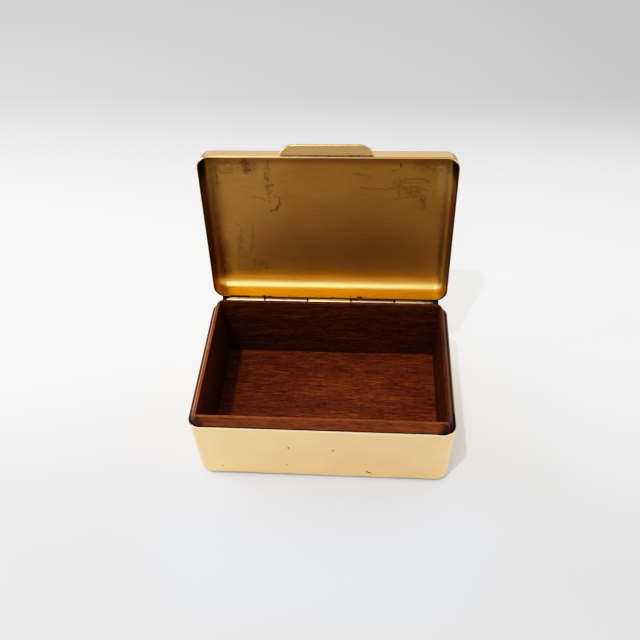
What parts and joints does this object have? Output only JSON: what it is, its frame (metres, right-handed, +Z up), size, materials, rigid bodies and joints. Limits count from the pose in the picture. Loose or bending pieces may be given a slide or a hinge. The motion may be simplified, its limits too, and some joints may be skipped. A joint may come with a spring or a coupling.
{
  "type": "hinged brass desk box with a wooden lining",
  "caption": "Rectangular drawn brass desk box with a hinged lid, a finger tab and a raised mahogany lining, for cigarettes, small cigars or trinkets.",
  "frame": {"origin": "middle of the case's flat underside", "axes": "+X to the box's right, +Y to its back where the hinge is, +Z up"},
  "size_m": [0.16, 0.1399, 0.1639],
  "materials": {
    "case_brass": "polished outside, with small tarnish specks",
    "lid_brass": "satin inside with tarnish marks, polished outside",
    "hinge_brass": "polished, dark in the gaps",
    "pin_steel": "dull",
    "mahogany": "thin oil or shellac, open pores"
  },
  "bodies": {
    "case": {"case_shell": "case_brass", "lining_floor": "mahogany", "lining_front": "mahogany", "lining_back": "mahogany", "lining_left": "mahogany", "lining_right": "mahogany", "case_hinge_bar": "hinge_brass", "knuckle_case_left": "hinge_brass", "knuckle_case_right": "hinge_brass", "hinge_pin": "pin_steel"},
    "lid": {"lid_shell": "lid_brass", "finger_tab": "lid_brass", "lid_hinge_bar": "hinge_brass", "knuckle_lid_left": "hinge_brass", "knuckle_lid_middle": "hinge_brass", "knuckle_lid_right": "hinge_brass"}
  },
  "joints": [
    {"name": "lid_hinge", "type": "hinge", "parent": "case", "child": "lid", "pos_m": [0, 0.0542, 0.05305], "axis": [1, 0, 0], "range_deg": [0, 101]}
  ]
}
